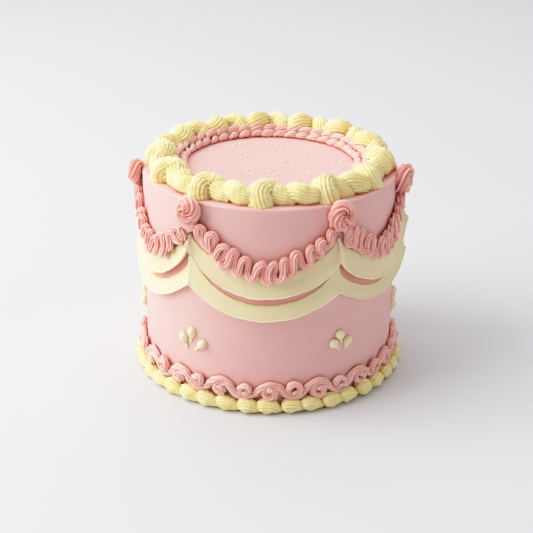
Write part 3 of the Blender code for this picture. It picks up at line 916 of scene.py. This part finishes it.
def pipe_swag(swag, first, last):
    """The two ribbons of a swag, each a separate piece."""
    share = np.linspace(-1.0, 1.0, RIBBON_STEPS)
    thick = ribbon_thickness(swag, share)
    pair = (
        ("upper", upper_edges(swag, share), START_FOLDS[swag], swag),
        ("lower", lower_edges(swag, share), 0.0, swag + 2.0),
    )
    for row, (low, high), fold, phase in pair:
        strip = ribbon(first - RIBBON_LAP, last + RIBBON_LAP, low, high, thick, fold, phase)
        piped(
            f"{row}_petal_ribbon_{swag + 1}",
            [strip],
            ribbon_yellow,
            [f"{row}_ribbon_{swag + 1}"],
        )


for i, (first, last) in enumerate(swags):
    pipe_swag(i, first, last)
print("ribbons:", 2 * SWAGS)

# %% [markdown]
# ## Painted shade between the ribbons
# Light that finds its way in between two ribbons has been through icing more than once
# and comes back a deeper, redder pink. More subsurface would show that, but it would
# redden the whole cake. So shade is painted there instead: the cake's own points are given
# some of the groove colour, most of it as a painted shadow close under the upper ribbon.

# %% Paint shade on the pink between the ribbons
# Painted shade close under the upper ribbon, where its shadow falls, and down at the lower
# one, and how far the painted shade runs on behind both ribbons
SHADOW_UNDER_LIP = 1.5
SHADE_OVER_NEXT = 0.5
SHADE_SOFT_MM = 2.0


def paint_shade_between_ribbons(piece):
    """Paints shade into the groove values of the cake's side between the ribbons, and counts the
    points shaded.
    """
    points = np.empty(3 * len(piece.data.vertices))
    piece.data.vertices.foreach_get("co", points)
    x, y, z = points.reshape(-1, 3).T / MM
    sideways = np.mod(np.arctan2(x, -y) * CAKE_R - swags[0][0], TURN * CAKE_R) + swags[0][0]
    depth = np.zeros(len(z))
    for i, (first, last) in enumerate(swags):
        across = 2.0 * (sideways - first) / (last - first) - 1.0
        inside = np.abs(across) <= 1.0
        held = np.clip(across, -1.0, 1.0)
        lip = upper_edges(i, held)[0]
        edge = lower_edges(i, held)[1]
        # Painted shadow under the upper ribbon's lip, fading to less painted shade at the lower
        # ribbon
        fallen = np.clip((lip - z) / (lip - edge), 0.0, 1.0)
        below = np.clip(lip + SHADE_SOFT_MM - z, 0.0, 1.0)
        above = np.clip(z - edge + SHADE_SOFT_MM, 0.0, 1.0)
        depth += inside * below * above * (SHADOW_UNDER_LIP + (SHADE_OVER_NEXT - SHADOW_UNDER_LIP) * fallen)
    depth *= np.hypot(x, y) > CAKE_R - 1.0
    piece.data.attributes["groove"].data.foreach_set("value", depth)
    return int(np.count_nonzero(depth))


print("points deepened:", paint_shade_between_ribbons(cake))

# %% [markdown]
# ## The zigzag garlands
# Over each upper ribbon a fine star nozzle is worked up and down in a tight zigzag, from
# one rosette to the next. Short strokes side by side would show their ends. So a garland
# is one long strand: its path swings across a middle line that hangs like a swag, and it
# is lifted where it crosses the ribbon. Size, lean and squeeze change at every stroke.

# %% Middle lines of the garlands
ROSETTES_DEG = (-84.5, -33.0, 29.6, 80.5, 146.0, 210.0)
# Heights of a garland's middle line at its ends and at its lowest, and how square it hangs
GARLAND_TOP_Z = 118.6
GARLAND_LOWS_Z = (96.8, 95.2, 98.8, 96.0, 95.2, 96.0)
GARLAND_HANG = 1.65
GARLAND_END_CLEAR = 2.8
# Half the width at shares of the way along: it starts narrow, is soon full and fades out
GARLAND_SHARES = (-1.0, -0.8, 0.4, 1.0)
GARLAND_HALF_WIDE = (5.0, 7.4, 7.3, 4.6)
FINE_STEPS = 600


def middle_line(swag, first, last, count):
    """Even places on a garland's middle line: sideways, height, slope, half width."""
    fine = np.linspace(-1.0, 1.0, FINE_STEPS)
    ends = (first + GARLAND_END_CLEAR, last - GARLAND_END_CLEAR)
    sideways = np.interp(fine, (-1.0, 1.0), ends)
    low = GARLAND_LOWS_Z[swag]
    height = low + (GARLAND_TOP_Z - low) * np.abs(fine) ** GARLAND_HANG
    half = np.interp(fine, GARLAND_SHARES, GARLAND_HALF_WIDE)
    slope = np.arctan2(np.gradient(height), np.gradient(sideways))
    gone = np.concatenate([[0.0], np.cumsum(np.hypot(np.diff(sideways), np.diff(height)))])
    even = np.linspace(0.0, gone[-1], count)
    return [np.interp(even, gone, values) for values in (sideways, height, slope, half)]


def ribbon_below(sideways, height):
    """How far out the upper ribbons stand under a strand at each place."""
    under = np.zeros_like(sideways)
    for i, (first, last) in enumerate(swags):
        for lap in (-1, 0, 1):
            across = 2.0 * (sideways + lap * TURN * CAKE_R - first) / (last - first) - 1.0
            inside = np.clip(across, -1.0, 1.0)
            low, high = upper_edges(i, inside)
            thick = ribbon_thickness(i, inside)
            face = 1.0 + (thick - 1.0) * np.clip((high - height + 1.0) / (high - low), 0.0, 1.0)
            over = np.clip((high + 1.5 - height) / 2.5, 0.0, 1.0) * (np.abs(across) < 1.02)
            under = np.maximum(under, face * over)
    return under


garland_spans = spans(ROSETTES_DEG)
print("garlands", [round(last - first) for first, last in garland_spans], "mm across")

# %% Pipe the garlands
GARLAND_WAVES = 12
WAVE_STEPS = 24
GARLAND_STRAND = 2.5
GARLAND_NOZZLE = {"teeth": 6, "groove": 0.5, "crest": 1.05, "finish": 8}
# How the strokes lean, in radians, where the swag falls, hangs level and rises
GARLAND_SLOPES = (-0.85, 0.0, 0.85)
GARLAND_LEANS = (-0.16, -0.26, 0.55)
# The most that a steep place makes its strokes longer is one over this
LEAST_COSINE = 0.75
# How far a stroke bends to the side, and how much higher a stroke up lies than one down
STROKE_BELLY = 0.7
STROKE_LIFT = 1.8


def garland(swag, first, last):
    """One strand that zigzags from a rosette to the next."""
    count = GARLAND_WAVES * WAVE_STEPS + 1
    sideways, height, slope, half = middle_line(swag, first, last, count)
    turn = TURN * np.linspace(0.0, GARLAND_WAVES, count)
    beats = math.pi * np.arange(2 * GARLAND_WAVES + 1)

    def each_stroke(size):
        """An error of the hand that changes from stroke to stroke."""
        return np.interp(turn, beats, [wobble(size) for _ in beats])

    hand_size = 1.0 + each_stroke(0.16)
    hand_squeeze = 1.0 + each_stroke(0.14)
    hand_shift = each_stroke(1.5)
    hand_lift = each_stroke(0.6)
    # The hand keeps its strokes nearly upright, so they are longer where the swag is steep
    lean = np.interp(slope, GARLAND_SLOPES, GARLAND_LEANS)
    longer = 1.0 / np.maximum(np.cos(lean - slope), LEAST_COSINE)
    swing = -np.cos(turn) * (half - GARLAND_STRAND + 0.4) * hand_size * longer
    lean = lean + each_stroke(0.4)
    belly = STROKE_BELLY * np.sin(2.0 * turn + 0.3) + hand_shift
    x = sideways - swing * np.sin(lean) + belly * np.cos(lean)
    z = height + swing * np.cos(lean) + belly * np.sin(lean)
    # Each stroke up lies over the stroke down before it
    lift = 0.8 * GARLAND_STRAND + STROKE_LIFT * (0.5 + 0.5 * np.sin(turn))
    lift = lift + np.maximum(hand_lift, -0.2)
    path = around_side(x, z, ribbon_below(x, z - 1.0) + lift)
    radius = GARLAND_STRAND * blob(count, 0.01, 0.985, 0.4) * hand_squeeze
    return strand(path, radius, 2.0 + wobble(1.0), **GARLAND_NOZZLE)


for i, (first, last) in enumerate(garland_spans):
    piped(
        f"zigzag_garland_{i + 1}",
        [garland(i, first, last)],
        piped_pink,
        [f"garland_{i + 1}"],
    )
print("garlands:", len(garland_spans))

# %% [markdown]
# ## The rosettes
# A rosette is one squeeze of a big star nozzle. The hand moves in a small circle, rises
# as it closes and stops in the middle, so the ridges wind in to a small eye. A twisted
# ball would have its ridges meet in a point. So the strand follows a spiral that ends on
# top of its own start, and twists a little on the way.

# %% Pipe the rosettes
# The heights at which they are piped, and how far each then sags under its weight
ROSETTES_Z = (131.0, 131.2, 129.6, 131.0, 131.0, 131.0)
ROSETTE_SAGS = (1.2, 2.2, 1.0, 1.2, 1.0, 1.2)
ROSETTE_SIZES = (1.0, 1.1, 1.0, 1.05, 1.0, 1.05)
ROSETTE_STRAND = 5.3
# Radius of the spiral at its start and at its eye
ROSETTE_RING = 4.9
ROSETTE_EYE = 0.25
ROSETTE_TURN_DEG = 500.0
ROSETTE_TALLER = 1.3
# How far out the strand starts, and how much further it ends, on top of itself
ROSETTE_OUT = 2.6
ROSETTE_HEAP = 5.0
ROSETTE_TWIST = 0.85
ROSETTE_NOZZLE = {"teeth": 8, "groove": 0.5, "crest": 1.1, "finish": 8}
ROSETTE_STEPS = 70
# The strand thins as the hand stops: shares of the way in, and of the strand
FALL_SHARES = (0.0, 0.45, 0.8, 0.97, 1.0)
FALL_SIZES = (1.0, 1.0, 0.72, 0.36, 0.16)
# For each rosette: where the spiral starts in degrees, and the eye's place sideways and up
ROSETTE_STARTS = (
    (290, 0.4, 0.3),
    (300, -1.0, 0.0),
    (318, 1.8, -0.3),
    (290, 0.5, 0.2),
    (310, -0.4, 0.3),
    (270, 0.6, -0.3),
)


def rosette(size, centre_deg, centre_z, start_deg, eye_side, eye_up):
    """One strand wound in to its eye."""
    s = np.linspace(0.0, 1.0, ROSETTE_STEPS)
    turn = math.radians(start_deg) - math.radians(ROSETTE_TURN_DEG) * s
    ring = size * ROSETTE_RING * (1.0 - s) ** 0.8 + ROSETTE_EYE
    x = math.radians(centre_deg) * CAKE_R + ring * np.cos(turn) + eye_side * s
    z = centre_z + ROSETTE_TALLER * ring * np.sin(turn) + eye_up * s
    path = around_side(x, z, ROSETTE_OUT + ROSETTE_HEAP * s**1.2)
    share = np.minimum(blob(ROSETTE_STEPS, 0.06, 1.0, 1.0), np.interp(s, FALL_SHARES, FALL_SIZES))
    radius = size * ROSETTE_STRAND * share * (1.0 + wobble(0.04))
    return strand(path, radius, ROSETTE_TWIST + wobble(0.1), **ROSETTE_NOZZLE)


for i, degrees in enumerate(ROSETTES_DEG):
    swirl = rosette(ROSETTE_SIZES[i], degrees, ROSETTES_Z[i] - ROSETTE_SAGS[i], *ROSETTE_STARTS[i])
    swirled = piped(
        f"swirled_rosette_{i + 1}",
        [swirl],
        piped_pink,
        [f"rosette_{i + 1}"],
    )
    print("rosette of", [round(size / MM, 1) for size in swirled.dimensions], "mm")

# %% [markdown]
# ## The drop motifs
# Below each join hang three plain drops, squeezed from a round nozzle and drawn off
# downwards. A pulled-out ball would taper evenly to a point, but icing leaves a head, a
# neck and a blunt tail. So each drop is a strand with no teeth whose radius is drawn
# along its length.

# %% Pipe the drops
MOTIFS_DEG = (-89.0, -36.0, 33.2, 86.5, 149.0, 210.0)
MOTIF_Z = 42.0
# Sideways, up and lean of three drops. The two front motifs are each piped a little
# unlike the rest: the left one's drops have long tails and the right one's short ones.
PLAIN_DROPS = ((-6.1, -1.6, 17.0), (0.1, 5.2, -4.0), (6.1, -1.9, -25.0))
LEFT_DROPS = ((-5.2, -0.8, 16.0), (1.0, 4.6, -12.0), (8.2, -1.9, -42.0))
RIGHT_DROPS = ((-5.4, 0.1, 38.0), (-1.2, 5.0, 16.0), (4.4, -0.3, -16.0))
MOTIFS = (PLAIN_DROPS, LEFT_DROPS, RIGHT_DROPS, PLAIN_DROPS, PLAIN_DROPS, PLAIN_DROPS)
MOTIF_TURNS_DEG = (0.0, 0.0, 0.0, 0.0, 8.0, -6.0)
DROPS_LONG = (10.2, 11.2, 9.2, 10.2, 10.2, 10.2)
DROP_STEPS = 34
DROP_WIDE = 6.0
# The tail's share of the width, and the share of the length above the drop's place
DROP_TAIL = 0.36
DROP_HEAD_HIGH = 0.36
# Shares of the length: the fattest place, the neck's length and where the blunt end starts
DROP_FATTEST = 0.3
DROP_NECK = 0.52
DROP_END = 0.92
# A drop's middle is this share of its radius off the cake, and it is a shade deep all over
DROP_OUT = 0.25
DROP_DEPTH = 0.4


def drop_radius(s):
    """Radius shares of a drop: a round head, a neck that narrows to a tail, a blunt end."""
    head = np.sqrt(np.clip(1.0 - ((s - DROP_FATTEST) / DROP_FATTEST) ** 2, 0.0, 1.0))
    fallen = np.clip((s - DROP_FATTEST) / DROP_NECK, 0.0, 1.0)
    neck = DROP_TAIL + (1.0 - DROP_TAIL) * (0.5 + 0.5 * np.cos(math.pi * fallen))
    past = np.maximum(s - DROP_END, 0.0) / (1.0 - DROP_END)
    end = np.sqrt(np.clip(1.0 - past**2, 0.0, 1.0))
    return np.maximum(np.where(s < DROP_FATTEST, head, neck * end), 0.06)


def drop(centre_deg, side, up, lean_deg, turn_deg, long):
    """A drop at a place in its motif, which may be turned, with its tail a little bent."""
    turn = math.radians(turn_deg)
    lean = math.radians(lean_deg + 0.6 * turn_deg)
    turned_side = side * math.cos(turn) - up * math.sin(turn)
    turned_up = side * math.sin(turn) + up * math.cos(turn)
    s = np.linspace(0.0, 1.0, DROP_STEPS)
    radius = 0.5 * DROP_WIDE * (1.0 + wobble(0.06)) * drop_radius(s)
    run = DROP_HEAD_HIGH * long - long * s + wobble(0.2)
    bend = wobble(0.9) * 4.0 * np.maximum(s - 0.5, 0.0) ** 2
    x = math.radians(centre_deg) * CAKE_R + turned_side - run * math.sin(lean) + bend
    z = MOTIF_Z + turned_up + run * math.cos(lean)
    verts, faces, depth = strand(around_side(x, z, DROP_OUT * radius), radius)
    return verts, faces, depth + DROP_DEPTH


for i, degrees in enumerate(MOTIFS_DEG):
    for letter, (side, up, lean) in zip("abc", MOTIFS[i]):
        name = f"drop_{i + 1}{letter}"
        piece = drop(degrees, side, up, lean, MOTIF_TURNS_DEG[i], DROPS_LONG[i])
        piped("piped_" + name, [piece], ribbon_yellow, [name])
print("drops:", 3 * len(MOTIFS_DEG))

# %% [markdown]
# ## The sprinkles
# White nonpareils, sugar balls under 2 mm across, are scattered on the top. A particle
# system would scatter them too, but not in the same places as in the solids. So their
# places are listed, and each ball lies on its solid.

# %% The sprinkles' sugar
# Pressed sugar has a grain of about 0.1 mm, drawn coarser so that it shows on a ball
SUGAR_GRAIN_MM = 0.5
SUGAR_BUMP_MM = 0.03
SUGAR_IOR = 1.5
SUGAR_ROUGHNESS = 0.3


def sugar(name):
    """Nonpareils are pressed sugar with a thin gloss, so they catch small highlights."""
    material = bpy.data.materials.new(name)
    material.use_nodes = True
    tree = material.node_tree
    shader = tree.nodes["Principled BSDF"]
    place = add_node(tree, "ShaderNodeTexCoord").outputs["Object"]
    grain = add_node(
        tree,
        "ShaderNodeTexNoise",
        {"Vector": place, "Scale": per_metre(SUGAR_GRAIN_MM)},
    )
    colour = add_node(
        tree,
        "ShaderNodeMix",
        {"Factor": grain.outputs["Fac"], "A": linear("#FFFFFF"), "B": linear("#F3ECE6")},
        data_type="RGBA",
    )
    tree.links.new(colour.outputs["Result"], shader.inputs["Base Color"])
    bump = add_node(
        tree,
        "ShaderNodeBump",
        {"Height": grain.outputs["Fac"], "Distance": SUGAR_BUMP_MM * MM},
    )
    tree.links.new(bump.outputs["Normal"], shader.inputs["Normal"])
    shader.inputs["Roughness"].default_value = SUGAR_ROUGHNESS
    shader.inputs["IOR"].default_value = SUGAR_IOR
    return material


white_sugar = sugar("white_sugar_nonpareils")
print("sugar:", white_sugar.name)

# %% Scatter the sprinkles
# The balls are drawn at their real radius, a little smaller than in the solids. Their
# middles stand as high as the solids' do, by a share of the solids' radius.
SPRINKLE_R = 0.9
SPRINKLE_SEEN_R = 0.74
SPRINKLE_RAISED = 0.35
# Sideways and back from the middle of the top
SPRINKLES = (
    (-24.0, 35.0), (-20.0, 38.0), (-19.0, 18.0), (-15.0, 15.0), (-38.0, -12.0), (-14.0, -13.0),
    (-1.0, -16.0), (4.0, 36.0), (7.5, 36.5), (11.0, 18.0), (24.0, 22.0), (9.0, 4.0),
    (14.0, -9.0), (4.0, -22.0), (25.0, -20.0), (33.0, -18.0), (39.0, -8.0), (46.0, 4.0),
    (-30.0, -30.0), (-6.0, -38.0), (17.0, -36.0), (36.0, -31.0),
)


def scatter_sprinkles():
    """All the balls as one object, each a little sunk into the icing."""
    bm = bmesh.new()
    for sideways, back in SPRINKLES:
        made = bmesh.ops.create_icosphere(bm, subdivisions=2, radius=SPRINKLE_SEEN_R * MM)
        centre = Vector((sideways, back, CAKE_H + SPRINKLE_R * SPRINKLE_RAISED)) * MM
        bmesh.ops.translate(bm, verts=made["verts"], vec=centre)
    mesh = bpy.data.meshes.new("white_nonpareils")
    bm.to_mesh(mesh)
    bm.free()
    mesh.shade_smooth()
    mesh.materials.append(white_sugar)
    balls = bpy.data.objects.new("white_nonpareils", mesh)
    bpy.context.scene.collection.objects.link(balls)
    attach(balls, "root")
    return balls


sprinkles = scatter_sprinkles()
print(sprinkles.name + ":", len(SPRINKLES))

# %% [markdown]
# ## The studio
# The cake stands on a plain pale floor in soft light from a large panel on the left, with
# a weak fill on the right. Small lamps would cut hard shadows between the ridges. Panels
# more than a metre wide wrap round them, as daylight from a window does.

# %% The floor
FLOOR_HALF_M = 4.0
FLOOR_CLOUD_MM = 900.0


def studio_floor():
    """Matt painted board: pale grey, with clouds so wide and faint that they hardly show."""
    half = FLOOR_HALF_M
    mesh = bpy.data.meshes.new("pale_floor")
    corners = [(-half, -half, 0), (half, -half, 0), (half, half, 0), (-half, half, 0)]
    mesh.from_pydata(corners, [], [(0, 1, 2, 3)])
    material = bpy.data.materials.new("pale_matt_floor")
    material.use_nodes = True
    tree = material.node_tree
    shader = tree.nodes["Principled BSDF"]
    place = add_node(tree, "ShaderNodeTexCoord").outputs["Object"]
    cloud = add_node(
        tree,
        "ShaderNodeTexNoise",
        {"Vector": place, "Scale": per_metre(FLOOR_CLOUD_MM)},
    )
    colour = add_node(
        tree,
        "ShaderNodeMix",
        {"Factor": cloud.outputs["Fac"], "A": linear("#D9D9DB"), "B": linear("#D3D3D6")},
        data_type="RGBA",
    )
    tree.links.new(colour.outputs["Result"], shader.inputs["Base Color"])
    shader.inputs["Roughness"].default_value = 0.9
    mesh.materials.append(material)
    floor = bpy.data.objects.new("pale_floor", mesh)
    bpy.context.scene.collection.objects.link(floor)


studio_floor()
print("floor", 2 * FLOOR_HALF_M, "m wide")

# %% The lights
# Name, place and aim in metres, width in metres and watts
PANELS = (
    ("window_left", (-1.45, -0.2, 1.03), (0.0, 0.0, 0.08), 1.7, 50.0),
    ("soft_overhead", (-0.2, 0.8, 1.8), (0.0, 0.2, 0.0), 2.2, 25.0),
    ("weak_fill_right", (1.5, -0.5, 0.6), (0.0, 0.0, 0.08), 1.2, 4.5),
)
ROOM_COLOUR = "#F4F4F8"
ROOM_STRENGTH = 0.4


def panel(name, place, aim, wide, watts):
    """A square panel of white light that faces its aim."""
    light = bpy.data.lights.new(name, "AREA")
    light.size = wide
    light.energy = watts
    lamp = bpy.data.objects.new(name, light)
    lamp.location = place
    lamp.rotation_euler = (Vector(aim) - Vector(place)).to_track_quat("-Z", "Y").to_euler()
    bpy.context.scene.collection.objects.link(lamp)


for values in PANELS:
    panel(*values)
world = bpy.data.worlds.new("soft_room")
world.use_nodes = True
room = world.node_tree.nodes["Background"]
room.inputs["Color"].default_value = linear(ROOM_COLOUR)
room.inputs["Strength"].default_value = ROOM_STRENGTH
bpy.context.scene.world = world
print("light panels:", len(PANELS))

# %% [markdown]
# ## The picture
# A camera keeps detail in pale icing by rolling the brightest tones off softly. A filmic
# view transform does that too, but it dulls the pinks. So one curve is drawn over the
# linear picture, straight up to its middle. The camera itself looks down from 24 degrees.

# %% The picture's soft shoulder
SHOULDER = ((0.5, 0.5), (0.7, 0.665), (0.86, 0.765), (1.1, 0.872), (1.4, 0.945))
WHITE_LEVEL = 2.0
view = bpy.context.scene.view_settings
view.view_transform = "Standard"
view.use_curve_mapping = True
view.curve_mapping.white_level = (WHITE_LEVEL, WHITE_LEVEL, WHITE_LEVEL)
tones = view.curve_mapping.curves[3]
for linear_in, linear_out in SHOULDER:
    tones.points.new(linear_in / WHITE_LEVEL, linear_out)
view.curve_mapping.update()
print("tone curve points:", len(tones.points))

# %% The camera
CAMERA_TILT_DEG = 24.1
CAMERA_ROLL_DEG = 0.55
CAMERA_AWAY = 0.800
CAMERA_AIM = Vector((-0.0017, 0.0, 0.0618))
FOCAL_PX = 1205.0
PHOTO_PX = 533.0
SENSOR_MM = 36.0

camera_data = bpy.data.cameras.new("photo_camera")
camera_data.sensor_width = SENSOR_MM
camera_data.lens = FOCAL_PX / PHOTO_PX * SENSOR_MM
camera = bpy.data.objects.new("photo_camera", camera_data)
tilt = math.radians(CAMERA_TILT_DEG)
camera.location = CAMERA_AIM + Vector((0.0, -math.cos(tilt), math.sin(tilt))) * CAMERA_AWAY
look = (CAMERA_AIM - camera.location).to_track_quat("-Z", "Y").to_matrix().to_4x4()
roll = Matrix.Rotation(math.radians(CAMERA_ROLL_DEG), 4, "Z")
camera.rotation_euler = (look @ roll).to_euler()
bpy.context.scene.collection.objects.link(camera)
bpy.context.scene.camera = camera
print("camera lens", round(camera_data.lens, 1), "mm")
